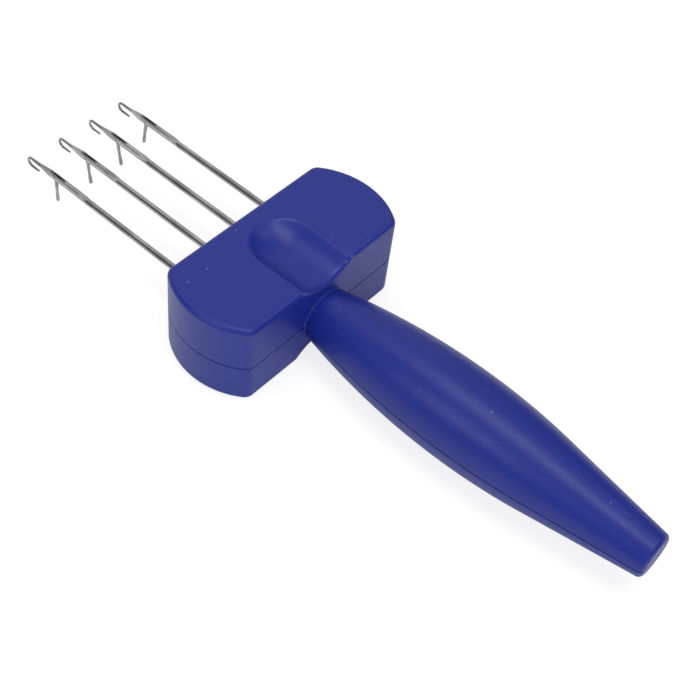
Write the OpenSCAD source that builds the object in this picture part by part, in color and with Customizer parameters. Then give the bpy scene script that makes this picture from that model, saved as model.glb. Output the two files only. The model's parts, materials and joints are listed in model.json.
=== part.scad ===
// Four-needle latch hook tool: a two-shell head that clamps four latch needles,
// on a spindle handle made of two hollow halves. All sizes are in millimetres.
// +X runs along the tool towards the hooks, +Y to its left, +Z up. The origin lies under
// the middle of the tool's box, on the surface that the tool rests on.

/* [Needles] */
// Distance from one needle to the next: two holes of five-to-the-inch rug canvas
needle_pitch = 10.16; // [8:0.01:12.7]
// Length of needle in front of the head
needle_reach = 60.3; // [45:0.1:80]
// Diameter of the round shank
shank_d = 1.7; // [1.4:0.05:2]
// Length of shank held inside the head
shank_grip = 15; // [13.5:0.1:15.5]
// Length of the bent end that locks a needle in the head
butt_len = 5; // [3:0.1:6]
// Centre-line radius of the bend before the butt
butt_bend_r = 1.6; // [1.2:0.1:2.5]

/* [Hook] */
// Wire diameter at the bend of the hook
hook_wire_d = 0.7; // [0.6:0.05:0.85]
// Centre-line radius of the hook's bend
hook_bend_r = 1.28; // [1.1:0.02:1.5]
// Distance from the front of the hook back to the end of its beak
beak_len = 4.3; // [3.6:0.1:4.6]
// Diameter at the beak's rounded end
beak_tip_d = 0.56; // [0.4:0.02:0.7]

/* [Cheeks] */
// Width of the flattened part that holds the latch
cheek_w = 1.25; // [1.15:0.05:1.5]
// Height of the cheeks above the needle's axis
cheek_top = 1; // [0.9:0.05:1.2]
// Depth of the cheeks below the needle's axis
cheek_drop = 0.6; // [0.5:0.05:0.7]
// Distance from the front of the hook to the end of the cheeks
cheek_end = 22.4; // [20:0.1:26]

/* [Latch] */
// Distance from the front of the hook to the latch pivot
pivot_back = 10.9; // [10.5:0.1:11.5]
// Height of the pivot above the needle's axis
pivot_rise = 0.1; // [0:0.05:0.2]
// Length of the latch from its pivot to the end of its spoon
latch_len = 8.3; // [7.8:0.1:8.6]
// Thickness of the latch blade
latch_t = 0.42; // [0.36:0.02:0.5]
// Width of the blade at its eye
latch_root_w = 1.24; // [1.1:0.02:1.3]
// Width of the blade where its spoon begins
blade_w = 0.72; // [0.5:0.02:0.9]
// Width of the spoon at the latch's tip
spoon_w = 0.86; // [0.7:0.02:1]
// Thickness of the spoon
spoon_t = 0.5; // [0.4:0.02:0.56]
// Diameter of the rivet that the latch turns on
rivet_d = 0.6; // [0.5:0.02:0.7]

/* [Head] */
// Width of the head across the needles
head_w = 58.8; // [50:0.1:75]
// Depth of the head from its rear face to its front face
head_depth = 26.6; // [25:0.1:34]
// Height of the upper shell above the parting plane
upper_h = 12.9; // [12:0.1:17]
// Depth of the lower shell below the parting plane
lower_h = 11.2; // [10.7:0.1:15]
// Radius of the bulged ends, seen from above
head_end_r = 20.3; // [19:0.1:30]
// Radius of the four upright corners
head_corner_r = 2.8; // [2:0.1:5]
// Rounding along the head's upper and lower rims
head_rim_r = 1.3; // [0.6:0.1:1.9]
// Wall thickness of the head shells
head_wall = 2.2; // [1.8:0.1:2.6]

/* [Thumb scoop] */
// Depth of the scoop in the top and in the underside
scoop_depth = 2.9; // [2:0.1:3.2]
// Radius across the scoop's floor
scoop_r = 12.5; // [10:0.5:16]
// Distance from the head's rear face to the front end of the scoop
scoop_len = 22.2; // [18:0.1:23]
// Rounding of the scoop's lip
scoop_lip_r = 1.6; // [0.8:0.1:3]

/* [Handle] */
// Length of the handle behind the head
handle_len = 93; // [80:1:125]
// Largest diameter of the handle
handle_d = 22.3; // [20:0.1:24]
// Diameter where the handle meets the head
neck_d = 13.4; // [12:0.1:15]
// How far the thin rim at the neck stands proud
neck_rim = 0.3; // [0.1:0.05:0.5]
// Thickness of that rim along the handle
neck_rim_t = 0.45; // [0.3:0.05:0.8]
// Diameter of the flat end
tail_d = 10.8; // [9:0.1:12]
// Distance from the head to the handle's thickest point
belly_back = 40.7; // [35:0.1:46]
// Length of the straight taper before the end
taper_len = 28.6; // [18:0.1:30]
// Rounding of the end's rim
tail_rim_r = 1.3; // [0.5:0.1:2]
// Wall thickness of the handle halves
handle_wall = 2.4; // [2:0.1:3]
// Diameter of the stub that joins the handle to the head
stub_d = 8.6; // [7:0.1:9]
// Diameter of the flange on the stub
flange_d = 14; // [12:0.1:15]
// Height of the flange across its flats
flange_flat = 11; // [10:0.1:11.4]
// Thickness of the flange
flange_t = 2.5; // [2:0.1:3]

/* [Screws] */
// Shank diameter of the screws
screw_d = 2.6; // [2:0.1:3]
// Diameter of the screw heads
screw_head_d = 5; // [4.4:0.1:5.4]
// Height of the screw heads
screw_head_h = 1.8; // [1.4:0.1:2.2]
// Length of the head's screws under their heads
head_screw_len = 14; // [12:0.5:15]
// Length of the handle's screws under their heads
handle_screw_len = 10; // [8:0.5:11]
// Depth of the recess that sinks a screw's head
screw_sink = 3; // [2:0.1:3.5]

/* [Fits] */
// Gap on each side of the latch in its slot
slot_gap = 0.06; // [0.04:0.01:0.1]
// Radial gap between rivet and latch eye
pivot_gap = 0.03; // [0.02:0.01:0.06]
// Gap left between the closed latch and the beak
close_gap = 0.05; // [0.03:0.01:0.1]
// Gap round the shanks, the flange, the pins and the screws
seat_gap = 0.05; // [0.02:0.01:0.1]
// Width of the shadow line where two shells meet
seam_gap = 0.3; // [0.1:0.05:0.5]
// Depth of that shadow line
seam_depth = 0.4; // [0.2:0.05:0.6]

/* [Hidden] */

needle_count = 4;
// How far each latch leans forward of hanging straight down, in degrees
latch_lean = [2, -4.5, -6.5, 10];

// Places along X and Z
tool_len = handle_len + head_depth + needle_reach;
tip_x = tool_len / 2;
front_x = tip_x - needle_reach;
rear_x = front_x - head_depth;
parting_z = lower_h;

// Slot for the latch: where it opens at the top and at the bottom of the cheeks
slot_top_front = pivot_back - 1.2;
slot_top_back = pivot_back + 2.7;
slot_low_front = pivot_back - 3;
slot_low_back = pivot_back + 4.7;
cheek_front = beak_len;
wire_rise = 0.12;
beak_z = wire_rise - 2 * hook_bend_r;
bend_x = hook_wire_d / 2 + hook_bend_r;

// How far below the needle's axis the latch points when it is shut and when it is laid back
beak_reach = pivot_back - beak_len + beak_tip_d / 2;
shut_slope = atan2(pivot_rise - beak_z, beak_reach)
    + asin((beak_tip_d / 2 + spoon_t / 2 + close_gap) / norm([beak_reach, pivot_rise - beak_z]));
open_slope = 14;
echo(pivot_at = [tip_x - pivot_back, 0, parting_z + pivot_rise]);
echo(latch_ranges = [for (lean = latch_lean) [open_slope - 90 - lean, 90 - shut_slope - lean]]);

// Handle curves: a front arc up to the belly, a rear arc, then a straight taper
belly_r = handle_d / 2;
neck_drop = belly_r - neck_d / 2;
neck_r = neck_d / 2 + neck_rim;
front_arc_r = round(5 * (belly_back * belly_back + neck_drop * neck_drop) / neck_drop) / 10;
rear_run = handle_len - belly_back - taper_len;
tail_slope = 2 * atan(half_slope(0.07, 6));
rear_arc_r = round(10 * rear_run / sin(tail_slope)) / 10;
taper_back = belly_back + rear_arc_r * sin(tail_slope);
taper_r = belly_r - rear_arc_r * (1 - cos(tail_slope));

// Plan of the head: a fan of the end radius, then a corner that turns into the straight faces
end_y = head_w / 2 - head_end_r;
corner_dx = head_depth / 2 - head_corner_r;
corner_dy = sqrt(pow(head_end_r - head_corner_r, 2) - pow(corner_dx, 2));
corner_y = end_y + corner_dy;
inner_rim_r = 0.3;
// Where two rounded faces meet smoothly, the distance by which one crosses the other
crossing = 0.005;
// Slope at which the scoop's rounded lip meets the face around it, in degrees
lip_edge = 8;

// Inside the head, measured from its rear face
stub_wall = 3;
stub_block_x = stub_wall + flange_t + 2;
stub_block_w = flange_d + 4;
butt_x = head_depth - shank_grip;
bend_back_x = butt_x - butt_bend_r - shank_d / 2 - seat_gap;
rail_x = [bend_back_x - 1, butt_x + 1.8];
rib_x = head_depth - 6.2;
rib_t = 1.8;
rib_w = 3 * needle_pitch + 8;
boss_r = screw_head_d / 2 + 0.9;
head_screw_y = head_w / 2 - head_wall - boss_r - 0.9;
head_screw_top = head_screw_len + screw_sink - lower_h + 0.5;
head_pin_x = (rail_x[1] + rib_x) / 2;
pin_r = 1.1;
pin_h = 2.5;
pin_boss_r = 2.2;

// Along the handle, measured back from the head
handle_screws_at = [17, handle_len - 20];
handle_pins_at = [belly_back - 9, belly_back + 11];
hollow_from = 8;
hollow_to = handle_len - 8;

shell_blue = "#3a418c";
steel_grey = "#9a9a98";
big = 200;

// Half side view of a block: its outer upper corner is rounded
module rim_section(run, height, rim)
{
    square([run, height - rim]);
    square([run - rim, height]);
    translate([run - rim, height - rim]) circle(r = rim, $fn = 64);
}

// Disc with a rounded upper rim, kept only inside a wedge that opens from its centre
module rim_wedge(r, height, rim, wedge)
{
    intersection()
    {
        rotate_extrude($fn = 180) rim_section(r, height, rim);
        translate([0, 0, -1]) linear_extrude(height + 2) polygon(wedge);
    }
}

// Solid head on one side of the parting plane, its rear face on X = 0: a straight middle,
// a bulged fan at each end and a rounded upright corner between them
module head_form(height, rim, inset = 0)
{
    fan = 2 * [corner_dx, corner_dy];
    translate([head_depth / 2, 0, 0])
    {
        rotate([90, 0, 0])
            linear_extrude(2 * corner_y, center = true)
                for (face = [0, 1])
                    mirror([face, 0]) rim_section(head_depth / 2 - inset, height, rim);
        for (side = [0, 1])
            mirror([0, side, 0])
            {
                translate([0, end_y, 0])
                    rim_wedge(head_end_r - inset, height, rim, [[0, 0], fan, [-fan[0], fan[1]]]);
                for (face = [0, 1])
                    mirror([face, 0, 0])
                        translate([corner_dx, corner_y, 0])
                            rim_wedge(head_corner_r - inset, height, rim, [[0, 0], [fan[0], 0], fan]);
            }
    }
}

// How far the scoop's lip stands from its middle line
function scoop_lip_y(wall = 0) =
    let (r = scoop_r + wall, depth = scoop_depth + wall, reach = r + scoop_lip_r - crossing)
    sqrt(pow(reach, 2) - pow(r - depth + scoop_lip_r, 2));

// Half section of the scoop, right of its middle line, below a top at Y = 0
module scoop_section(wall = 0)
{
    r = scoop_r + wall;
    depth = scoop_depth + wall;
    lip_y = scoop_lip_y(wall);
    share = (r - crossing / 2) / (r + scoop_lip_r - crossing);
    touch = [lip_y * share, r - depth - share * (r - depth + scoop_lip_r)];
    edge_y = lip_y - scoop_lip_r * sin(lip_edge);
    intersection()
    {
        translate([0, crossing - depth]) square([lip_y + 1, depth + 3]);
        union()
        {
            translate([0, r - depth]) circle(r = r, $fn = 128);
            difference()
            {
                polygon([[0, 3], [edge_y, 3], [edge_y, -scoop_lip_r / 2], touch, [0, touch[1]]]);
                translate([lip_y, -scoop_lip_r]) circle(r = scoop_lip_r, $fn = 64);
            }
        }
    }
}

// Space of the thumb scoop below a face at Z = 0, open to the rear
module scoop_space(wall = 0)
{
    end_x = scoop_len - scoop_lip_y();
    translate([end_x, 0, 0])
        rotate([0, 0, -90])
            rotate_extrude(angle = 180, $fn = 128) scoop_section(wall);
    translate([-1, 0, 0])
        rotate([90, 0, 90])
            linear_extrude(end_x + 1)
                for (side = [0, 1])
                    mirror([side, 0]) scoop_section(wall);
    if (wall == 0)
        scoop_edge();
}

// Ring that rounds the scoop's open end where it runs out through the rear face
module scoop_edge()
{
    cut = head_rim_r - crossing;
    translate([0, 0, scoop_r - scoop_depth])
        rotate([0, 90, 0])
            rotate_extrude($fn = 180)
                difference()
                {
                    translate([scoop_r - 1, -1]) square(cut + 1);
                    translate([scoop_r + cut, cut]) circle(r = head_rim_r, $fn = 64);
                }
}

// Bore along X for every needle shank, from the front face to behind the bend
module shank_bores()
{
    for (i = [0 : needle_count - 1])
        translate([bend_back_x, needle_y(i), 0])
            rotate([0, 90, 0])
                cylinder(r = shank_d / 2 + seat_gap, h = head_depth - bend_back_x + 1, $fn = 48);
}

function needle_y(i) = ((needle_count - 1) / 2 - i) * needle_pitch;

// Seat for the handle's stub and flange
module stub_seat()
{
    rotate([0, 90, 0])
    {
        translate([0, 0, -1])
            cylinder(r = stub_d / 2 + seat_gap, h = stub_wall + 2, $fn = 96);
        translate([0, 0, stub_wall - seat_gap])
            flange(seat_gap);
    }
}

// Flange with two flats, standing on Z = 0
module flange(gap = 0)
{
    intersection()
    {
        cylinder(r = flange_d / 2 + gap, h = flange_t + 2 * gap, $fn = 96);
        translate([-flange_flat / 2 - gap, -flange_d, -1])
            cube([flange_flat + 2 * gap, 2 * flange_d, flange_t + 3]);
    }
}

// What stays solid inside a head shell: blocks, ribs and bosses above the parting plane
module head_insides(height)
{
    translate([0, -stub_block_w / 2, 0]) cube([stub_block_x, stub_block_w, height]);
    translate([rail_x[0], -rib_w / 2, 0]) cube([rail_x[1] - rail_x[0], rib_w, height]);
    translate([rib_x, -rib_w / 2, 0]) cube([rib_t, rib_w, height]);
    for (side = [1, -1])
    {
        translate([head_depth / 2, side * head_screw_y, 0])
            cylinder(r = boss_r, h = height, $fn = 64);
        translate([head_pin_x, side * needle_pitch, 0])
            cylinder(r = pin_boss_r, h = height, $fn = 48);
    }
}

// One head shell before its screw holes and pins, standing on the parting plane
module head_shell_blank(height)
{
    difference()
    {
        head_form(height, head_rim_r);
        translate([0, 0, height]) scoop_space();
        difference()
        {
            translate([0, 0, -1])
                head_form(height - head_wall + 1, inner_rim_r, head_wall);
            translate([0, 0, height]) scoop_space(head_wall);
            head_insides(height);
        }
        shank_bores();
        stub_seat();
        difference()
        {
            translate([-1, -head_w, -seam_gap / 2])
                cube([head_depth + 2, 2 * head_w, seam_gap]);
            translate([0, 0, -1]) head_form(2, inner_rim_r, seam_depth);
        }
    }
}

module head_upper_shell()
{
    color(shell_blue)
    translate([rear_x, 0, parting_z])
    {
        difference()
        {
            head_shell_blank(upper_h);
            for (side = [1, -1])
                translate([head_depth / 2, side * head_screw_y, -1])
                    cylinder(r = screw_d / 2 + seat_gap, h = head_screw_top + 2, $fn = 48);
        }
        for (side = [1, -1])
            translate([head_pin_x, side * needle_pitch, -pin_h])
                cylinder(r = pin_r, h = pin_h + 1, $fn = 48);
    }
}

module head_lower_shell()
{
    color(shell_blue)
    translate([rear_x, 0, parting_z])
    mirror([0, 0, 1])
    difference()
    {
        head_shell_blank(lower_h);
        for (side = [1, -1])
        {
            translate([head_depth / 2, side * head_screw_y, 0])
                screw_hole(lower_h);
            translate([head_pin_x, side * needle_pitch, -1])
                cylinder(r = pin_r + seat_gap, h = pin_h + 1.3, $fn = 48);
        }
        for (i = [0 : needle_count - 1])
            translate([butt_x - butt_bend_r, needle_y(i), 0])
                butt_pocket();
    }
}

// Pocket for the bent end of a shank, cut into the lower shell's rail
module butt_pocket()
{
    slot_w = shank_d + 2 * seat_gap;
    translate([-slot_w / 2, -slot_w / 2, -1])
        cube([butt_bend_r + slot_w, slot_w, butt_bend_r + 1]);
    cylinder(r = slot_w / 2, h = butt_bend_r + butt_len + seat_gap, $fn = 48);
}

// Clearance hole from the parting plane, with a wider mouth that sinks the head
module screw_hole(height)
{
    translate([0, 0, -1]) cylinder(r = screw_d / 2 + 0.2, h = height + 2, $fn = 48);
    translate([0, 0, height - screw_sink]) cylinder(r = screw_head_d / 2 + 0.15, h = screw_sink + 1, $fn = 64);
}

// Half section of the handle: radius along X, distance back from the head along Y
module handle_section(inset = 0)
{
    intersection()
    {
        translate([belly_r - front_arc_r, belly_back]) circle(r = front_arc_r - inset, $fn = 720);
        square([belly_r, belly_back]);
    }
    intersection()
    {
        translate([belly_r - rear_arc_r, belly_back]) circle(r = rear_arc_r - inset, $fn = 720);
        translate([0, belly_back]) square([belly_r, taper_back + 3 - belly_back]);
    }
    tail_section(inset);
    if (inset == 0)
        polygon([[0, 0], [neck_r, 0], [neck_r, neck_rim_t / 2],
            [neck_r - neck_rim / 2, neck_rim_t], [0, neck_rim_t]]);
}

// Half section of the straight taper, with the rounded rim of the handle's end
module tail_section(inset)
{
    start = taper_back - inset * sin(tail_slope);
    start_r = taper_r - inset * cos(tail_slope) - crossing;
    end = handle_len - inset;
    end_r = start_r - (end - start) * tan(tail_slope);
    rim = max(tail_rim_r - inset, 0.2);
    rim_mid = [end_r - rim * (1 / cos(tail_slope) - tan(tail_slope)), end - rim];
    polygon([[0, start], [start_r, start],
        rim_mid + rim * [cos(tail_slope), sin(tail_slope)],
        rim_mid + [0, rim], [0, end]]);
    translate(rim_mid + 2 * crossing * [1, 1]) circle(r = rim, $fn = 96);
}

// Solid of the whole handle, running back from the head's rear face
module handle_form(inset = 0)
{
    rotate([0, -90, 0]) rotate_extrude($fn = 128) handle_section(inset);
}

// What stays solid inside the handle
module handle_insides(side)
{
    for (s = handle_screws_at)
        translate([-s, 0, 0]) cylinder(r = boss_r, h = side * belly_r, $fn = 64);
    for (s = handle_pins_at)
        translate([-s, 0, 0]) cylinder(r = pin_boss_r + 0.6, h = side * belly_r, $fn = 48);
    translate([-belly_back - 1, -belly_r, 0]) cube([2, 2 * belly_r, belly_r]);
}

// Upper or lower half of the handle before its screw holes and pins
module handle_half_blank()
{
    difference()
    {
        union()
        {
            handle_form();
            rotate([0, 90, 0])
            {
                translate([0, 0, -1]) cylinder(r = stub_d / 2, h = stub_wall + 2, $fn = 96);
                translate([0, 0, stub_wall]) flange();
            }
        }
        translate([-big, -big, -2 * big]) cube(2 * big);
        difference()
        {
            intersection()
            {
                handle_form(handle_wall);
                translate([-hollow_to, -big, -1])
                    cube([hollow_to - hollow_from, 2 * big, big]);
            }
            handle_insides(1);
        }
        difference()
        {
            translate([-handle_len - 1, -belly_r - 1, -seam_gap / 2])
                cube([handle_len + 1, 2 * belly_r + 2, seam_gap]);
            handle_form(seam_depth);
        }
    }
}

module handle_upper_half()
{
    color(shell_blue)
    translate([rear_x, 0, parting_z])
    {
        difference()
        {
            handle_half_blank();
            for (s = handle_screws_at)
                translate([-s, 0, -1])
                    cylinder(r = screw_d / 2 + seat_gap, h = handle_screw_top(s) + 1.5, $fn = 48);
        }
        for (s = handle_pins_at)
            translate([-s, 0, -pin_h]) cylinder(r = pin_r, h = pin_h + 1, $fn = 48);
    }
}

module handle_lower_half()
{
    color(shell_blue)
    translate([rear_x, 0, parting_z])
    mirror([0, 0, 1])
    difference()
    {
        handle_half_blank();
        for (s = handle_screws_at)
            translate([-s, 0, 0]) screw_hole(handle_r(s));
        for (s = handle_pins_at)
            translate([-s, 0, -1])
                cylinder(r = pin_r + seat_gap, h = pin_h + 1.3, $fn = 48);
    }
}

// Tangent of half the taper's slope, from a first guess and a number of closer rounds
function half_slope(guess, rounds) =
    let (better = (belly_r - tail_d / 2) / (rear_run + 2 * taper_len / (1 - guess * guess)))
    rounds == 0 ? better : half_slope(better, rounds - 1);

// Radius of the handle at a distance back from the head
function handle_r(s) =
    s < belly_back ? belly_r - front_arc_r + sqrt(pow(front_arc_r, 2) - pow(belly_back - s, 2))
    : s < taper_back ? belly_r - rear_arc_r + sqrt(pow(rear_arc_r, 2) - pow(s - belly_back, 2))
    : taper_r - (s - taper_back) * tan(tail_slope);

// Height above the parting plane that a handle screw reaches
function handle_screw_top(s) = handle_screw_len + screw_sink - handle_r(s);

// Screw standing on its tip, head down: the seat under the head lies on Z = 0
module screw(length)
{
    cylinder(r = screw_d / 2, h = length - 1, $fn = 48);
    translate([0, 0, length - 1]) cylinder(r1 = screw_d / 2, r2 = 0.4, h = 1, $fn = 48);
    difference()
    {
        translate([0, 0, -screw_head_h]) cylinder(r = screw_head_d / 2, h = screw_head_h, $fn = 64);
        for (turn = [0, 90])
            rotate([0, 0, turn])
                translate([-1.4, -0.35, -screw_head_h - 1]) cube([2.8, 0.7, 2]);
    }
}

module head_screws()
{
    color(steel_grey)
    for (side = [1, -1])
        translate([rear_x + head_depth / 2, side * head_screw_y, screw_sink])
            screw(head_screw_len);
}

module handle_screws()
{
    color(steel_grey)
    for (s = handle_screws_at)
        translate([rear_x - s, 0, parting_z - handle_r(s) + screw_sink])
            screw(handle_screw_len);
}

// Side shape of the cheeks, distance back from the hook along X, height along Y
module cheek_side()
{
    polygon([
        [cheek_front, wire_rise - 0.2],
        [slot_low_front + 1.2, -cheek_drop],
        [cheek_end - 0.8, -cheek_drop],
        [cheek_end, 0],
        [cheek_end, shank_d / 2 - 0.15],
        [cheek_end - 3.2, cheek_top],
        [slot_top_front + 0.9, cheek_top],
        [cheek_front, wire_rise + 0.25]]);
}

// Plan of the cheeks, which swell from the wire to their full width
module cheek_plan()
{
    half = cheek_w / 2;
    front_half = 0.4 * hook_wire_d;
    full_at = slot_low_front + 1.4;
    polygon([
        [cheek_front, -front_half], [full_at, -half], [cheek_end + 1, -half],
        [cheek_end + 1, half], [full_at, half], [cheek_front, front_half]]);
}

// Side shape of the sawn slot, open above and below
module slot_side()
{
    top_step = 1 / (cheek_top + cheek_drop);
    front_run = slot_top_front - slot_low_front;
    back_run = slot_low_back - slot_top_back;
    polygon([
        [slot_low_front - front_run * top_step, -cheek_drop - 1],
        [slot_low_back + back_run * top_step, -cheek_drop - 1],
        [slot_top_back - back_run * top_step, cheek_top + 1],
        [slot_top_front + front_run * top_step, cheek_top + 1]]);
}

// Plate of a side shape drawn by its children, centred on the needle's middle plane
module side_plate(width)
{
    translate([0, width / 2, 0])
        rotate([90, 0, 0])
            linear_extrude(width) children();
}

// Needle with its hook at X = 0 and its butt towards +X, its axis at Z = 0
module needle()
{
    cheek_mid = (cheek_top - cheek_drop) / 2;
    cone_end = slot_low_front + 1;
    difference()
    {
        union()
        {
            intersection()
            {
                side_plate(cheek_w) cheek_side();
                translate([0, 0, -2]) linear_extrude(4) cheek_plan();
                translate([0, 0, cheek_mid])
                    rotate([0, 90, 0])
                        cylinder(r = norm([cheek_w / 2, cheek_top - cheek_mid]) - 0.1, h = 40, $fn = 64);
            }
            translate([bend_x, 0, wire_rise])
                rotate([0, 90, 0])
                    cylinder(r1 = hook_wire_d / 2, r2 = cheek_w / 2 - 0.05, h = cone_end - bend_x, $fn = 48);
            translate([cheek_end - 3, 0, 0])
                rotate([0, 90, 0])
                    cylinder(r1 = cheek_w / 2 - 0.1, r2 = shank_d / 2, h = 3.4, $fn = 48);
        }
        side_plate(latch_t + 2 * slot_gap) slot_side();
        translate([pivot_back, 2, pivot_rise])
            rotate([90, 0, 0]) cylinder(r = rivet_d / 2, h = 4, $fn = 48);
    }
    hook_bend();
    translate([bend_x, 0, beak_z])
        rotate([0, 90, 0])
            cylinder(r1 = hook_wire_d / 2, r2 = beak_tip_d / 2, h = beak_len - beak_tip_d / 2 - bend_x, $fn = 48);
    translate([beak_len - beak_tip_d / 2, 0, beak_z]) sphere(r = beak_tip_d / 2, $fn = 48);
    shank();
}

// Half turn of wire that joins the needle to its beak
module hook_bend()
{
    translate([bend_x, 0, wire_rise - hook_bend_r])
        rotate([90, 90, 0])
            rotate_extrude(angle = -180, $fn = 96)
                translate([hook_bend_r, 0]) circle(r = hook_wire_d / 2, $fn = 48);
}

// Round shank, the bend inside the head and the butt that points down
module shank()
{
    butt_back = needle_reach + shank_grip;
    translate([cheek_end + 0.4, 0, 0])
        rotate([0, 90, 0]) cylinder(r = shank_d / 2, h = butt_back - cheek_end - 0.4, $fn = 64);
    translate([butt_back, 0, -butt_bend_r])
        rotate([90, 0, 0])
            rotate_extrude(angle = 90, $fn = 96)
                translate([butt_bend_r, 0]) circle(r = shank_d / 2, $fn = 64);
    translate([butt_back + butt_bend_r, 0, -butt_bend_r - butt_len])
        cylinder(r = shank_d / 2, h = butt_len, $fn = 64);
}

// Latch hanging straight down from its pivot, spoon open towards the hook on the -X side
module latch()
{
    root = latch_root_w / 2;
    neck = -latch_len + 2.2;
    blade_half = blade_w / 2;
    difference()
    {
        union()
        {
            side_plate(latch_t)
            {
                circle(r = root, $fn = 64);
                polygon([[-root, 0], [root, 0], [blade_half + 0.08, -latch_len * 0.35],
                    [blade_half, neck], [spoon_t / 2, neck - 0.7],
                    [-spoon_t / 2, neck - 0.7], [-blade_half, neck],
                    [-blade_half - 0.08, -latch_len * 0.35]]);
            }
            spoon();
        }
        translate([0, 2, 0])
            rotate([90, 0, 0]) cylinder(r = rivet_d / 2 + pivot_gap, h = 4, $fn = 48);
    }
}

// Rounded tip of the latch, hollowed on the side that meets the beak
module spoon()
{
    end_r = spoon_w / 2;
    run = 1.1;
    difference()
    {
        translate([-spoon_t / 2, 0, -latch_len + end_r])
            rotate([0, 90, 0])
                linear_extrude(spoon_t)
                {
                    circle(r = end_r, $fn = 48);
                    translate([-run, -end_r]) square([run, 2 * end_r]);
                    translate([-run, 0]) circle(r = end_r, $fn = 48);
                }
        translate([-spoon_t / 2 - 0.62, 0, -latch_len + end_r + 0.3])
            sphere(r = 0.75, $fn = 48);
    }
}

// Rivet through both cheeks, flush with their faces
module rivet()
{
    translate([0, cheek_w / 2, 0])
        rotate([90, 0, 0]) cylinder(r = rivet_d / 2, h = cheek_w, $fn = 48);
}

// Puts a piece drawn in the needle's own frame in place number i of the row
module in_row(i)
{
    translate([tip_x, needle_y(i), parting_z]) mirror([1, 0, 0]) children();
}

module placed_needle(i)
{
    color(steel_grey) in_row(i) needle();
}

module placed_latch(i)
{
    color(steel_grey)
        in_row(i)
            translate([pivot_back, 0, pivot_rise])
                rotate([0, latch_lean[i], 0]) latch();
}

module placed_rivet(i)
{
    color(steel_grey) in_row(i) translate([pivot_back, 0, pivot_rise]) rivet();
}

head_upper_shell();
head_lower_shell();
handle_upper_half();
handle_lower_half();
placed_needle(0);  // needle_1
placed_needle(1);  // needle_2
placed_needle(2);  // needle_3
placed_needle(3);  // needle_4
placed_latch(0);  // latch_1
placed_latch(1);  // latch_2
placed_latch(2);  // latch_3
placed_latch(3);  // latch_4
placed_rivet(0);  // latch_rivet_1
placed_rivet(1);  // latch_rivet_2
placed_rivet(2);  // latch_rivet_3
placed_rivet(3);  // latch_rivet_4
head_screws();
handle_screws();
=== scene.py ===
import bpy
import bmesh
import json
import math
from mathutils import Matrix, Vector


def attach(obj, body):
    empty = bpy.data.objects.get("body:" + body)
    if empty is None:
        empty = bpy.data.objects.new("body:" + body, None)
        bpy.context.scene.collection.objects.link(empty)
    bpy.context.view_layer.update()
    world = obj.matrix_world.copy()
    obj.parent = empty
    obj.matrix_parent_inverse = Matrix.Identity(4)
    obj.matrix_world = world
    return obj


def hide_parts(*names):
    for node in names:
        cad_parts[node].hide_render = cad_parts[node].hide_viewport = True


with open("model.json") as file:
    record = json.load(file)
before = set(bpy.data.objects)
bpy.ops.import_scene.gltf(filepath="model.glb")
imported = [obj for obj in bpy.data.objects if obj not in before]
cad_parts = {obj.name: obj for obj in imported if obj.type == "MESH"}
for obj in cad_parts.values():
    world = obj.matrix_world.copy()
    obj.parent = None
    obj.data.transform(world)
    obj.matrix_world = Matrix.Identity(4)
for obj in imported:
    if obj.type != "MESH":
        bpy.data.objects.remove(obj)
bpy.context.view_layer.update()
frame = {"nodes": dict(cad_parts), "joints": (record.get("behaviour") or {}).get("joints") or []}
nodes = frame["nodes"]
mm = 0.001
noiseSpan = (0.3, 0.7)   # where most values of a noise lie
print("frame loaded:", len(nodes), "nodes")


# Helpers for building shader node trees

def addNode(tree, kind, place, values=None, **settings):
    node = tree.nodes.new(kind)
    node.location = place
    for name, value in settings.items():
        setattr(node, name, value)
    for name, value in (values or {}).items():
        node.inputs[name].default_value = value
    return node


def newGroup(name, inputs, outputs):
    group = bpy.data.node_groups.new(name, "ShaderNodeTree")
    for socketName, kind, default in inputs:
        socket = group.interface.new_socket(socketName, in_out="INPUT", socket_type=kind)
        if default is not None:
            socket.default_value = default
    for socketName, kind in outputs:
        group.interface.new_socket(socketName, in_out="OUTPUT", socket_type=kind)
    start = addNode(group, "NodeGroupInput", (-1000, 0))
    end = addNode(group, "NodeGroupOutput", (900, 0))
    return group, start, end


def useGroup(tree, group, place, values):
    return addNode(tree, "ShaderNodeGroup", place, values, node_tree=group)


def addMath(tree, operation, place, first, second=None):
    node = addNode(tree, "ShaderNodeMath", place, operation=operation)
    for index, value in enumerate((first, second)):
        if value is None:
            continue
        if isinstance(value, (int, float)):
            node.inputs[index].default_value = value
        else:
            tree.links.new(value, node.inputs[index])
    return node.outputs["Value"]


# Eased step of a value from one range to another

def addRange(tree, place, value, fromLow, fromHigh, toLow, toHigh):
    node = addNode(tree, "ShaderNodeMapRange", place, interpolation_type="SMOOTHSTEP")
    for name, given in (("Value", value), ("From Min", fromLow), ("From Max", fromHigh),
                        ("To Min", toLow), ("To Max", toHigh)):
        if isinstance(given, (int, float)):
            node.inputs[name].default_value = given
        else:
            tree.links.new(given, node.inputs[name])
    return node.outputs["Result"]


# Surface texture from the mould: a tight grain on a slow swell of the wall

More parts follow.
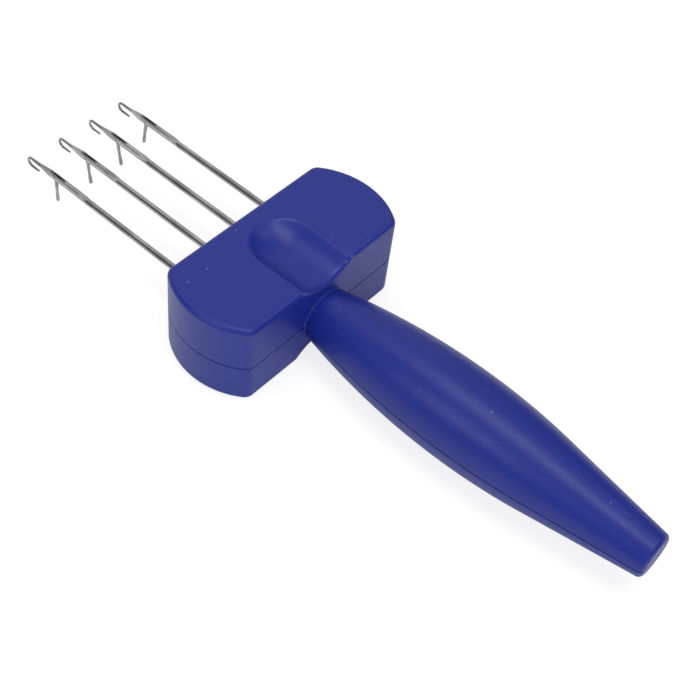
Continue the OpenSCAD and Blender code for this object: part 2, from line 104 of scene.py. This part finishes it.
def makeMouldedGrain():
    group, start, end = newGroup(
        "mouldedGrain",
        [("Vector", "NodeSocketVector", None), ("Grain Size", "NodeSocketFloat", 2500.0),
         ("Swell Size", "NodeSocketFloat", 60.0), ("Swell Share", "NodeSocketFloat", 0.35)],
        [("Height", "NodeSocketFloat"), ("Mottle", "NodeSocketFloat")])
    grain = addNode(group, "ShaderNodeTexNoise", (-600, 200), {"Detail": 3.0})
    swell = addNode(group, "ShaderNodeTexNoise", (-600, -200), {"Detail": 2.0})
    mix = addNode(group, "ShaderNodeMix", (-100, 50), data_type="FLOAT")
    link = group.links.new
    link(start.outputs["Vector"], grain.inputs["Vector"])
    link(start.outputs["Vector"], swell.inputs["Vector"])
    link(start.outputs["Grain Size"], grain.inputs["Scale"])
    link(start.outputs["Swell Size"], swell.inputs["Scale"])
    link(start.outputs["Swell Share"], mix.inputs["Factor"])
    link(grain.outputs["Fac"], mix.inputs["A"])
    link(swell.outputs["Fac"], mix.inputs["B"])
    link(mix.outputs["Result"], end.inputs["Height"])
    link(swell.outputs["Fac"], end.inputs["Mottle"])
    return group


# Hair scratches: thin contour lines of a stretched noise, broken up into patches

def makeHairScratches():
    group, start, end = newGroup(
        "hairScratches",
        [("Vector", "NodeSocketVector", None), ("Turn", "NodeSocketFloat", 0.5),
         ("Stretch", "NodeSocketVector", (18.0, 500.0, 500.0)),
         ("Line Width", "NodeSocketFloat", 0.006), ("Patch Size", "NodeSocketFloat", 70.0),
         ("Bareness", "NodeSocketFloat", 0.6)],
        [("Mask", "NodeSocketFloat")])
    link = group.links.new
    turned = addNode(group, "ShaderNodeVectorRotate", (-800, 100), rotation_type="Z_AXIS")
    link(start.outputs["Vector"], turned.inputs["Vector"])
    link(start.outputs["Turn"], turned.inputs["Angle"])
    stretched = addNode(group, "ShaderNodeVectorMath", (-620, 100), operation="MULTIPLY")
    link(turned.outputs["Vector"], stretched.inputs[0])
    link(start.outputs["Stretch"], stretched.inputs[1])
    lines = addNode(group, "ShaderNodeTexNoise", (-440, 100), {"Scale": 1.0, "Detail": 1.0})
    link(stretched.outputs["Vector"], lines.inputs["Vector"])
    offset = addMath(group, "SUBTRACT", (-260, 100), lines.outputs["Fac"], 0.5)   # the contour at mid height
    distance = addMath(group, "ABSOLUTE", (-100, 100), offset)
    thin = addRange(group, (80, 100), distance, 0.0, start.outputs["Line Width"], 1.0, 0.0)
    patches = addNode(group, "ShaderNodeTexNoise", (-440, -200), {"Detail": 2.0})
    link(start.outputs["Vector"], patches.inputs["Vector"])
    link(start.outputs["Patch Size"], patches.inputs["Scale"])
    upper = addMath(group, "ADD", (-260, -320), start.outputs["Bareness"], 0.08)   # soft edge of a patch
    worn = addRange(group, (80, -200), patches.outputs["Fac"], start.outputs["Bareness"], upper, 0.0, 1.0)
    link(addMath(group, "MULTIPLY", (300, 0), thin, worn), end.inputs["Mask"])
    return group


# Dust specks: a small dot in the middle of a few cells

def makeDustSpecks():
    group, start, end = newGroup(
        "dustSpecks",
        [("Vector", "NodeSocketVector", None), ("Cells", "NodeSocketFloat", 300.0),
         ("Dot Size", "NodeSocketFloat", 0.08), ("Share", "NodeSocketFloat", 0.1)],
        [("Mask", "NodeSocketFloat")])
    link = group.links.new
    cells = addNode(group, "ShaderNodeTexVoronoi", (-700, 0), feature="F1")
    link(start.outputs["Vector"], cells.inputs["Vector"])
    link(start.outputs["Cells"], cells.inputs["Scale"])
    dot = addRange(group, (-300, 150), cells.outputs["Distance"], 0.0, start.outputs["Dot Size"], 1.0, 0.0)
    split = addNode(group, "ShaderNodeSeparateColor", (-500, -150))
    link(cells.outputs["Color"], split.inputs["Color"])
    chosen = addMath(group, "LESS_THAN", (-300, -150), split.outputs["Red"], start.outputs["Share"])
    link(addMath(group, "MULTIPLY", (0, 0), dot, chosen), end.inputs["Mask"])
    return group


# Streaks left by drawing and polishing: a noise drawn out along one direction, with soft tarnish

def makeDrawnStreaks():
    group, start, end = newGroup(
        "drawnStreaks",
        [("Vector", "NodeSocketVector", None), ("Stretch", "NodeSocketVector", (60.0, 4000.0, 4000.0)),
         ("Tarnish Size", "NodeSocketFloat", 150.0), ("Tarnish From", "NodeSocketFloat", 0.35),
         ("Tarnish To", "NodeSocketFloat", 0.7)],
        [("Streak", "NodeSocketFloat"), ("Tarnish", "NodeSocketFloat")])
    link = group.links.new
    stretched = addNode(group, "ShaderNodeVectorMath", (-700, 100), operation="MULTIPLY")
    link(start.outputs["Vector"], stretched.inputs[0])
    link(start.outputs["Stretch"], stretched.inputs[1])
    streak = addNode(group, "ShaderNodeTexNoise", (-450, 100), {"Scale": 1.0, "Detail": 3.0})
    link(stretched.outputs["Vector"], streak.inputs["Vector"])
    tarnish = addNode(group, "ShaderNodeTexNoise", (-450, -200), {"Detail": 4.0})
    link(start.outputs["Vector"], tarnish.inputs["Vector"])
    link(start.outputs["Tarnish Size"], tarnish.inputs["Scale"])
    link(streak.outputs["Fac"], end.inputs["Streak"])
    dulled = addRange(group, (0, -200), tarnish.outputs["Fac"], start.outputs["Tarnish From"],
                      start.outputs["Tarnish To"], 0.0, 1.0)
    link(dulled, end.inputs["Tarnish"])
    return group


# Worn zone: a soft patch round one spot, such as the lip that the thumb rubs

def makeWornZone():
    group, start, end = newGroup(
        "wornZone",
        [("Vector", "NodeSocketVector", None), ("Spot", "NodeSocketVector", (0.0, 0.0, 0.0)),
         ("Reach", "NodeSocketFloat", 0.01), ("Break Size", "NodeSocketFloat", 400.0)],
        [("Mask", "NodeSocketFloat")])
    link = group.links.new
    away = addNode(group, "ShaderNodeVectorMath", (-700, 0), operation="DISTANCE")
    link(start.outputs["Vector"], away.inputs[0])
    link(start.outputs["Spot"], away.inputs[1])
    ragged = addNode(group, "ShaderNodeTexNoise", (-700, -250), {"Detail": 3.0})
    link(start.outputs["Vector"], ragged.inputs["Vector"])
    link(start.outputs["Break Size"], ragged.inputs["Scale"])
    near = addRange(group, (-400, 0), away.outputs["Value"], 0.0, start.outputs["Reach"], 1.0, 0.0)
    broken = addRange(group, (-400, -250), ragged.outputs["Fac"], 0.42, 0.62, 0.0, 1.0)   # leaves bare gaps
    link(addMath(group, "MULTIPLY", (0, 0), near, broken), end.inputs["Mask"])
    return group


# Slot shade: painted shade between the cheeks of the needles, darkening the slot and the latch roots inside
# it
# The row is folded over twice, which brings all four slots to one place

def makeSlotShade():
    group, start, end = newGroup(
        "paintedSlotShade",
        [("Vector", "NodeSocketVector", None), ("Pitch", "NodeSocketFloat", 0.01),
         ("Middle", "NodeSocketFloat", 0.08), ("Bottom", "NodeSocketFloat", 0.01),
         ("Half Length", "NodeSocketFloat", 0.003), ("Half Width", "NodeSocketFloat", 0.0003),
         ("Fade Depth", "NodeSocketFloat", 0.0004)],
        [("Mask", "NodeSocketFloat")])
    link = group.links.new
    split = addNode(group, "ShaderNodeSeparateXYZ", (-850, 0))
    link(start.outputs["Vector"], split.inputs["Vector"])
    halfPitch = addMath(group, "MULTIPLY", (-680, 300), start.outputs["Pitch"], 0.5)
    side = addMath(group, "ABSOLUTE", (-680, 150), split.outputs["Y"])
    shifted = addMath(group, "SUBTRACT", (-520, 150), side, start.outputs["Pitch"])
    folded = addMath(group, "ABSOLUTE", (-360, 150), shifted)
    offset = addMath(group, "SUBTRACT", (-200, 150), folded, halfPitch)
    across = addMath(group, "ABSOLUTE", (-40, 150), offset)
    inside = addMath(group, "LESS_THAN", (120, 150), across, start.outputs["Half Width"])
    ahead = addMath(group, "SUBTRACT", (-520, -150), split.outputs["X"], start.outputs["Middle"])
    lengthways = addMath(group, "ABSOLUTE", (-360, -150), ahead)
    fadeStart = addMath(group, "MULTIPLY", (-200, -250), start.outputs["Half Length"], 0.7)   # soft ends
    near = addRange(group, (-40, -150), lengthways, fadeStart, start.outputs["Half Length"], 1.0, 0.0)
    below = addMath(group, "SUBTRACT", (-200, -450), start.outputs["Bottom"], start.outputs["Fade Depth"])
    high = addRange(group, (-40, -400), split.outputs["Z"], below, start.outputs["Bottom"], 0.0, 1.0)
    slot = addMath(group, "MULTIPLY", (300, 0), inside, near)
    link(addMath(group, "MULTIPLY", (480, 0), slot, high), end.inputs["Mask"])
    return group


mouldedGrain = makeMouldedGrain()
hairScratches = makeHairScratches()
dustSpecks = makeDustSpecks()
drawnStreaks = makeDrawnStreaks()
wornZone = makeWornZone()
paintedSlotShade = makeSlotShade()
print("shader groups ready")


def newMaterial(name):
    material = bpy.data.materials.new(name)
    material.use_nodes = True
    tree = material.node_tree
    shader = tree.nodes["Principled BSDF"]
    coordinates = addNode(tree, "ShaderNodeTexCoord", (-1400, 0))
    return material, tree, shader, coordinates.outputs["Object"]


def mixColors(tree, place, factor, first, second, share=1.0):
    node = addNode(tree, "ShaderNodeMix", place, data_type="RGBA")
    amount = addMath(tree, "MULTIPLY", (place[0] - 180, place[1]), factor, share)
    tree.links.new(amount, node.inputs["Factor"])
    for index, value in ((6, first), (7, second)):   # the Mix node's two colour sockets
        if isinstance(value, tuple):
            node.inputs[index].default_value = value
        else:
            tree.links.new(value, node.inputs[index])
    return node.outputs[2]


# Moulded plastic of the head and of the handle

headFinish = {
    "color": (0.0118, 0.0262, 0.280, 1),
    "thickColor": (0.0100, 0.0215, 0.246, 1),   # where the wall swells and the dye looks deeper
    "scratchColor": (0.17, 0.18, 0.42, 1),
    "dustColor": (0.42, 0.44, 0.55, 1),
    "roughness": (0.33, 0.41),
    "grainSize": 2600.0,   # bumps per metre
    "grainDepth": 0.018 * mm,
    "scratchTurn": 0.6,   # radians from the tool's length
    "bareness": 0.63,   # how much of the surface has no scratches
    "dustShare": 0.10,
    "wornSpot": (0.0050, -0.0092, 0.0236),   # the thumb scoop's lip
    "wornReach": 0.0095,
}

handleFinish = {
    "color": (0.0097, 0.0230, 0.268, 1),
    "thickColor": (0.0076, 0.0182, 0.228, 1),
    "scratchColor": (0.14, 0.15, 0.38, 1),
    "dustColor": (0.30, 0.32, 0.50, 1),
    "roughness": (0.35, 0.43),
    "grainSize": 1500.0,
    "grainDepth": 0.045 * mm,
    "scratchTurn": 0.15,
    "bareness": 0.60,
    "dustShare": 0.03,
    "wornSpot": (0.0020, 0.0045, 0.0165),   # the neck
    "wornReach": 0.0050,
}

plasticWear = {   # the same on both
    "swellSize": 60.0,
    "swellShare": 0.35,
    "thickShare": 0.8,
    "faintShare": 0.28,   # hair scratches away from the worn spot
    "scratchShare": 0.6,
    "scratchDulls": 0.12,
    "scratchDepth": 0.5,
    "rubTurn": 0.8,   # radians that the rubs lie from the hair scratches
    "rubBareness": 0.3,
    "rubWidth": 0.026,
    "rubStretch": (30.0, 1000.0, 1000.0),
    "dustCells": 260.0,
    "dustDot": 0.10,
    "dustOpacity": 0.5,
    "ior": 1.46,
}


def makePlastic(name, finish):
    material, tree, shader, place = newMaterial(name)
    link = tree.links.new
    wear = plasticWear
    grain = useGroup(tree, mouldedGrain, (-1100, 200),
                     {"Grain Size": finish["grainSize"], "Swell Size": wear["swellSize"],
                      "Swell Share": wear["swellShare"]})
    scratches = useGroup(tree, hairScratches, (-1100, -100),
                         {"Turn": finish["scratchTurn"], "Bareness": finish["bareness"]})
    dust = useGroup(tree, dustSpecks, (-1100, -400),
                    {"Share": finish["dustShare"], "Cells": wear["dustCells"], "Dot Size": wear["dustDot"]})
    rubs = useGroup(tree, hairScratches, (-1100, -700),
                    {"Turn": finish["scratchTurn"] + wear["rubTurn"], "Bareness": wear["rubBareness"],
                     "Line Width": wear["rubWidth"], "Stretch": wear["rubStretch"]})
    worn = useGroup(tree, wornZone, (-1100, -1000),
                    {"Spot": finish["wornSpot"], "Reach": finish["wornReach"]})
    for group in (grain, scratches, dust, rubs, worn):
        link(place, group.inputs["Vector"])
    wornRubs = addMath(tree, "MULTIPLY", (-850, -800), rubs.outputs["Mask"], worn.outputs["Mask"])
    faint = addMath(tree, "MULTIPLY", (-850, -500), scratches.outputs["Mask"], wear["faintShare"])
    allScratches = addMath(tree, "MAXIMUM", (-700, -500), faint, wornRubs)
    base = mixColors(tree, (-600, 300), grain.outputs["Mottle"], finish["color"],
                     finish["thickColor"], wear["thickShare"])
    scratched = mixColors(tree, (-350, 300), allScratches, base, finish["scratchColor"], wear["scratchShare"])
    dusty = mixColors(tree, (-100, 300), dust.outputs["Mask"], scratched,
                      finish["dustColor"], wear["dustOpacity"])
    link(dusty, shader.inputs["Base Color"])
    satin = addRange(tree, (-600, 0), grain.outputs["Height"], *noiseSpan, *finish["roughness"])
    duller = addMath(tree, "MULTIPLY", (-450, -120), allScratches, wear["scratchDulls"])
    link(addMath(tree, "ADD", (-300, 0), satin, duller), shader.inputs["Roughness"])
    groove = addMath(tree, "MULTIPLY", (-600, -350), allScratches, wear["scratchDepth"])
    lowered = addMath(tree, "SUBTRACT", (-450, -300), grain.outputs["Height"], groove)
    bump = addNode(tree, "ShaderNodeBump", (-300, -300), {"Strength": 1.0, "Distance": finish["grainDepth"]})
    link(lowered, bump.inputs["Height"])
    link(bump.outputs["Normal"], shader.inputs["Normal"])
    shader.inputs["IOR"].default_value = wear["ior"]
    return material


# Drawn steel wire of the needles, stamped steel of the latches, turned steel of the rivets and screws

needleFinish = {
    "color": (0.56, 0.56, 0.575, 1),
    "tarnishColor": (0.26, 0.26, 0.27, 1),
    "tarnishShare": 0.7,
    "lineColor": (0.16, 0.16, 0.165, 1),
    "lineShare": 0.55,
    # painted shade in the slot between the cheeks
    "slotShadeShare": 0.9,
    "slotShadeColor": (0.03, 0.03, 0.03, 1),
    "roughness": (0.11, 0.22),
    "stretch": (60.0, 4000.0, 4000.0),   # drawn along the tool
    "grainDepth": 0.010 * mm,
}

latchFinish = {
    "color": (0.44, 0.44, 0.45, 1),
    "tarnishColor": (0.22, 0.22, 0.225, 1),
    "tarnishShare": 0.7,
    "lineColor": (0.15, 0.15, 0.155, 1),
    "lineShare": 0.35,
    # painted shade on the latch root inside the needle's slot
    "slotShadeShare": 0.85,
    "slotShadeColor": (0.03, 0.03, 0.03, 1),
    "roughness": (0.26, 0.40),
    "stretch": (3500.0, 3500.0, 250.0),   # along the hanging blade
    "grainDepth": 0.008 * mm,
}

rivetFinish = {
    "color": (0.34, 0.335, 0.33, 1),
    "tarnishColor": (0.14, 0.135, 0.13, 1),
    "tarnishShare": 0.8,
    "lineColor": (0.08, 0.08, 0.08, 1),
    "lineShare": 0.4,
    "roughness": (0.28, 0.42),
    "stretch": (2500.0, 600.0, 2500.0),   # along the rivet
    "grainDepth": 0.006 * mm,
}

screwFinish = {
    "color": (0.50, 0.495, 0.48, 1),
    "tarnishColor": (0.26, 0.25, 0.24, 1),
    "tarnishShare": 0.5,
    "lineColor": (0.20, 0.195, 0.19, 1),
    "lineShare": 0.4,
    "roughness": (0.30, 0.44),
    "stretch": (900.0, 2600.0, 300.0),
    "grainDepth": 0.012 * mm,
}

streakSpan = (0.52, 0.66)   # noise band over which a streak deepens into a dark line

hinges = [joint["pos_m"] for joint in frame["joints"]]
slotPlace = {
    "Pitch": abs(hinges[0][1] - hinges[1][1]),
    "Middle": hinges[0][0] - 0.8 * mm,
    "Bottom": hinges[0][2] - 0.9 * mm,
    "Half Length": 3.2 * mm,
    "Half Width": 0.3 * mm,
    "Fade Depth": 0.4 * mm,
}


def makeSteel(name, finish):
    material, tree, shader, place = newMaterial(name)
    link = tree.links.new
    drawn = useGroup(tree, drawnStreaks, (-1100, 200), {"Stretch": finish["stretch"]})
    link(place, drawn.inputs["Vector"])
    dulled = mixColors(tree, (-600, 300), drawn.outputs["Tarnish"], finish["color"],
                       finish["tarnishColor"], finish["tarnishShare"])
    dark = addRange(tree, (-800, 500), drawn.outputs["Streak"], *streakSpan, 0.0, 1.0)
    color = mixColors(tree, (-300, 400), dark, dulled, finish["lineColor"], finish["lineShare"])
    # painted shade inside the needles' slots, on needle and latch steel alike
    if "slotShadeShare" in finish:
        slotShadeNode = useGroup(tree, paintedSlotShade, (-800, 700), slotPlace)
        link(place, slotShadeNode.inputs["Vector"])
        color = mixColors(tree, (0, 500), slotShadeNode.outputs["Mask"], color,
                          finish["slotShadeColor"], finish["slotShadeShare"])
    link(color, shader.inputs["Base Color"])
    polish = addRange(tree, (-600, 0), drawn.outputs["Streak"], *noiseSpan, *finish["roughness"])
    link(polish, shader.inputs["Roughness"])
    bump = addNode(tree, "ShaderNodeBump", (-300, -300), {"Strength": 1.0, "Distance": finish["grainDepth"]})
    link(drawn.outputs["Streak"], bump.inputs["Height"])
    link(bump.outputs["Normal"], shader.inputs["Normal"])
    shader.inputs["Metallic"].default_value = 1.0
    return material


screwSteel = makeSteel("screwSteel", screwFinish)
finishes = {   # a piece takes the first finish whose key its name begins with
    "head_screws": screwSteel,
    "head_": makePlastic("headPlastic", headFinish),
    "handle_screws": screwSteel,
    "handle_": makePlastic("handlePlastic", handleFinish),
    "needle_": makeSteel("needleSteel", needleFinish),
    "latch_rivet_": makeSteel("rivetSteel", rivetFinish),
    "latch_": makeSteel("latchSteel", latchFinish),
}


# Latches: each one is lofted from a round eye to a slim blade and a small spoon, all in one flow
# Half widths stand as (distance from the rivet, half width) pairs in mm

latch = {
    "lean": (2, -4.5, -6.5, 10),   # degrees forward of hanging straight down
    "length": 8.3,
    "eyeR": 0.62,
    "eyeHole": 0.33,
    "front": ((0.0, 0.62), (2.9, 0.56), (4.7, 0.47), (6.1, 0.36), (7.0, 0.26), (8.3, 0.26)),
    "back": ((0.0, 0.62), (1.5, 0.62), (4.4, 0.37), (6.1, 0.44), (8.3, 0.42)),   # clears the slot's rear end
    "thickHalf": ((0.0, 0.21), (4.6, 0.21), (7.1, 0.40), (8.3, 0.40)),
    "squareness": 0.4,
    "hollow": 0.13,   # dish of the spoon, on the side that meets the beak
    "hollowSpan": (6.9, 8.2),
    "tipFlat": 0.55,   # share of the tip's width that its end keeps
    "rings": 56,
    "aroundRing": 20,
    "crowding": 0.6,   # how strongly the rings crowd towards the two rounded ends
    "eyeStart": 0.995,   # the first ring, as a share of the eye's radius
    "tipTrim": 0.008,
}


def along(pairs, distance):
    for (low, first), (high, second) in zip(pairs, pairs[1:]):
        if distance <= high:
            share = max(0.0, (distance - low) / (high - low))
            share = share * share * (3 - 2 * share)
            return first + (second - first) * share
    return pairs[-1][1]


def latchRing(distance):
    front = along(latch["front"], distance)
    back = along(latch["back"], distance)
    thick = along(latch["thickHalf"], distance)
    if distance < 0:   # round the back of the eye
        front = back = math.sqrt(max(0.0, latch["eyeR"] ** 2 - distance ** 2))
    tipR = thick
    toTip = latch["length"] - distance
    if toTip < tipR:
        closing = math.sqrt(max(0.0, 1 - (1 - toTip / tipR) ** 2))
        narrowing = latch["tipFlat"] + (1 - latch["tipFlat"]) * closing
        thick *= closing
        front *= narrowing
        back *= narrowing
    low, high = latch["hollowSpan"]
    middle = (distance - low) / (high - low)
    depth = latch["hollow"] * math.sin(math.pi * middle) if 0 < middle < 1 else 0
    ring = []
    for step in range(latch["aroundRing"]):
        angle = 2 * math.pi * step / latch["aroundRing"]
        cosine = math.cos(angle)
        sine = math.sin(angle)
        x = (front if cosine > 0 else back) * math.copysign(abs(cosine) ** latch["squareness"], cosine)
        y = thick * math.copysign(abs(sine) ** latch["squareness"], sine)
        if x > 0 and thick > 0:
            x -= depth * max(0.0, 1 - (y / thick) ** 2)
        ring.append((x, y, -distance))
    return ring


def latchMesh(name):
    span = latch["length"] + latch["eyeR"] - latch["tipTrim"]
    rings = []
    for index in range(latch["rings"]):
        share = index / (latch["rings"] - 1)
        eased = 0.5 - 0.5 * math.cos(math.pi * share)
        spread = (1 - latch["crowding"]) * share + latch["crowding"] * eased
        rings.append(latchRing(span * spread - latch["eyeR"] * latch["eyeStart"]))
    count = latch["aroundRing"]
    points = [Vector(point) * mm for ring in rings for point in ring]
    faces = [tuple(reversed(range(count)))]
    for index in range(len(rings) - 1):
        base = index * count
        for step in range(count):
            after = (step + 1) % count
            faces.append((base + step, base + after, base + count + after, base + count + step))
    faces.append(tuple((len(rings) - 1) * count + step for step in range(count)))
    mesh = bpy.data.meshes.new(name)
    mesh.from_pydata(points, [], faces)
    mesh.validate()
    work = bmesh.new()
    work.from_mesh(mesh)
    bmesh.ops.recalc_face_normals(work, faces=work.faces)
    work.to_mesh(mesh)
    work.free()
    return mesh


def cutEye(piece):
    bpy.ops.mesh.primitive_cylinder_add(vertices=48, radius=latch["eyeHole"] * mm, depth=2 * mm,
                                        rotation=(math.pi / 2, 0, 0))
    cutter = bpy.context.object
    cut = piece.modifiers.new("eye", "BOOLEAN")
    cut.object = cutter
    cut.operation = "DIFFERENCE"
    cut.solver = "EXACT"
    bpy.context.view_layer.objects.active = piece
    bpy.ops.object.modifier_apply(modifier=cut.name)
    bpy.data.objects.remove(cutter)


def makeLatch(number, lean):
    name = f"latchBlade{number}"
    mesh = latchMesh(name)
    piece = bpy.data.objects.new(name, mesh)
    bpy.context.scene.collection.objects.link(piece)
    cutEye(piece)
    for face in mesh.polygons:
        face.use_smooth = True
    joint = next(joint for joint in frame["joints"] if joint["name"] == f"latch_{number}_hinge")
    swung = Matrix.Rotation(-math.radians(lean), 4, "Y")
    mesh.transform(Matrix.Translation(joint["pos_m"]) @ swung)
    mesh.materials.append(finishes["latch_"])
    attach(piece, f"latch_{number}_body")
    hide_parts(f"latch_{number}")


for name, piece in nodes.items():
    key = next(key for key in finishes if name.startswith(key))
    piece.data.materials.clear()
    piece.data.materials.append(finishes[key])
for index, lean in enumerate(latch["lean"]):
    makeLatch(index + 1, lean)
print("materials on", len(nodes), "pieces, latches lofted:", len(latch["lean"]))


# Camera at the photograph's viewing angle

view = {
    "place": (-0.116598, 0.159938, 0.243659),   # fitted to the photograph
    "turn": (39.2943, -5.0461, -138.4278),   # degrees
    "lens": 69.4905,
    "sensor": 36,
}
camera = bpy.data.objects.new("camera", bpy.data.cameras.new("camera"))
camera.location = view["place"]
camera.rotation_euler = [math.radians(angle) for angle in view["turn"]]
camera.data.lens = view["lens"]
camera.data.sensor_width = view["sensor"]
camera.data.clip_start = 10 * mm
bpy.context.scene.collection.objects.link(camera)
bpy.context.scene.camera = camera


# Paper floor: white to the camera, with the tool's soft shadow on it, and seen through from below

floorSheet = {
    "halfSize": 3.0,   # metres
    "drop": 0.2 * mm,   # below the tool's resting face
    "color": (0.93, 0.93, 0.935, 1),
    "shadowColor": (0.32, 0.32, 0.325, 1),   # the lit part that the camera sees over the plain white
    "white": 0.78,
    "glossShare": 0.2,   # how far reflections see the plain white and not the shaded paper
    "fade": (0.30, 0.90),   # metres from the tool over which the paper turns fully white
    "roughness": 0.9,
}


def makeFloor():
    size = floorSheet["halfSize"]
    mesh = bpy.data.meshes.new("floor")
    corners = [(-size, -size, 0), (size, -size, 0), (size, size, 0), (-size, size, 0)]
    mesh.from_pydata(corners, [], [(0, 1, 2, 3)])
    floor = bpy.data.objects.new("floor", mesh)
    bpy.context.scene.collection.objects.link(floor)
    floor.location.z = -floorSheet["drop"]
    paper = bpy.data.materials.new("floorPaper")
    paper.use_nodes = True
    tree = paper.node_tree
    shader = tree.nodes["Principled BSDF"]
    shader.inputs["Roughness"].default_value = floorSheet["roughness"]
    shader.inputs["Emission Color"].default_value = (1, 1, 1, 1)
    rays = addNode(tree, "ShaderNodeLightPath", (-700, 100))
    glossy = addMath(tree, "MULTIPLY", (-700, 300), rays.outputs["Is Glossy Ray"], floorSheet["glossShare"])
    seen = addMath(tree, "MAXIMUM", (-500, 200), rays.outputs["Is Camera Ray"], glossy)
    seen = addMath(tree, "MAXIMUM", (-500, 0), seen, rays.outputs["Is Transmission Ray"])
    color = mixColors(tree, (-150, 200), seen, floorSheet["color"], floorSheet["shadowColor"])
    tree.links.new(color, shader.inputs["Base Color"])
    coordinates = addNode(tree, "ShaderNodeTexCoord", (-1100, -250))
    away = addNode(tree, "ShaderNodeVectorMath", (-900, -250), operation="LENGTH")
    tree.links.new(coordinates.outputs["Object"], away.inputs[0])
    near, far = floorSheet["fade"]
    white = addRange(tree, (-600, -250), away.outputs["Value"], near, far, floorSheet["white"], 1.0)
    tree.links.new(addMath(tree, "MULTIPLY", (-150, -200), seen, white), shader.inputs["Emission Strength"])
    side = addNode(tree, "ShaderNodeNewGeometry", (-900, -500))
    fromAbove = addMath(tree, "SUBTRACT", (-500, -500), 1.0, side.outputs["Backfacing"])
    tree.links.new(fromAbove, shader.inputs["Alpha"])
    floor.data.materials.append(paper)


makeFloor()


# Studio light: a dim room that is paler in front of the tool, a long softbox overhead and three round it

room = {
    "dim": 0.15,
    "pale": 0.67,
    "paleSide": (0.743, -0.396, 0.545),
    "edge": (0.64, 0.88),   # cosines of the angles from the pale side where it begins and where it is full
    "glossShare": 0.02,
}
softboxes = {
    "overheadSoftbox": {"place": (-0.10, 0.02, 0.80), "size": (0.84, 0.28), "power": 2.5, "glossy": True},
    "sideSoftbox": {"place": (0.11, 0.62, 0.52), "size": (0.34, 0.32), "power": 1.05, "glossy": True},
    "rearSoftbox": {"place": (-0.33, -0.45, 0.70), "size": (0.30, 0.24), "power": 0.50, "glossy": True},
    "fillSoftbox": {"place": (-0.80, 0.50, 0.55), "size": (0.8, 0.7), "power": 4.3, "glossy": False},
}


def makeRoom():
    world = bpy.data.worlds.new("studio")
    bpy.context.scene.world = world
    world.use_nodes = True
    tree = world.node_tree
    link = tree.links.new
    direction = addNode(tree, "ShaderNodeTexCoord", (-1100, 0))
    facing = addNode(tree, "ShaderNodeVectorMath", (-900, 0), operation="DOT_PRODUCT")
    link(direction.outputs["Generated"], facing.inputs[0])
    facing.inputs[1].default_value = room["paleSide"]
    low, high = room["edge"]
    light = addRange(tree, (-700, 0), facing.outputs["Value"], low, high, room["dim"], room["pale"])
    rays = addNode(tree, "ShaderNodeLightPath", (-900, 400))
    gloss = addMath(tree, "MULTIPLY", (-700, 300), rays.outputs["Is Glossy Ray"], room["glossShare"])
    seen = addMath(tree, "MAXIMUM", (-500, 400), rays.outputs["Is Camera Ray"], gloss)
    seen = addMath(tree, "MAXIMUM", (-300, 400), seen, rays.outputs["Is Transmission Ray"])
    strength = addNode(tree, "ShaderNodeMix", (-100, 100), {"B": 1.0}, data_type="FLOAT")
    link(seen, strength.inputs["Factor"])
    link(light, strength.inputs["A"])
    background = tree.nodes["Background"]
    background.inputs["Color"].default_value = (1, 1, 1, 1)
    link(strength.outputs["Result"], background.inputs["Strength"])


makeRoom()


def addSoftbox(name, values):
    lamp = bpy.data.lights.new(name, "AREA")
    lamp.shape = "RECTANGLE"
    lamp.size, lamp.size_y = values["size"]
    lamp.energy = values["power"]
    holder = bpy.data.objects.new(name, lamp)
    holder.location = values["place"]
    toTool = -Vector(values["place"])
    across = Vector((1, 0, 0))   # the box's long side runs along the tool
    backward = -toTool.normalized()
    upward = backward.cross(across).normalized()
    across = upward.cross(backward)
    holder.rotation_euler = Matrix((across, upward, backward)).transposed().to_euler()
    holder.visible_glossy = values["glossy"]
    bpy.context.scene.collection.objects.link(holder)


for name, values in softboxes.items():
    addSoftbox(name, values)
bpy.context.scene.view_settings.view_transform = "Standard"
print("camera, floor and light ready")
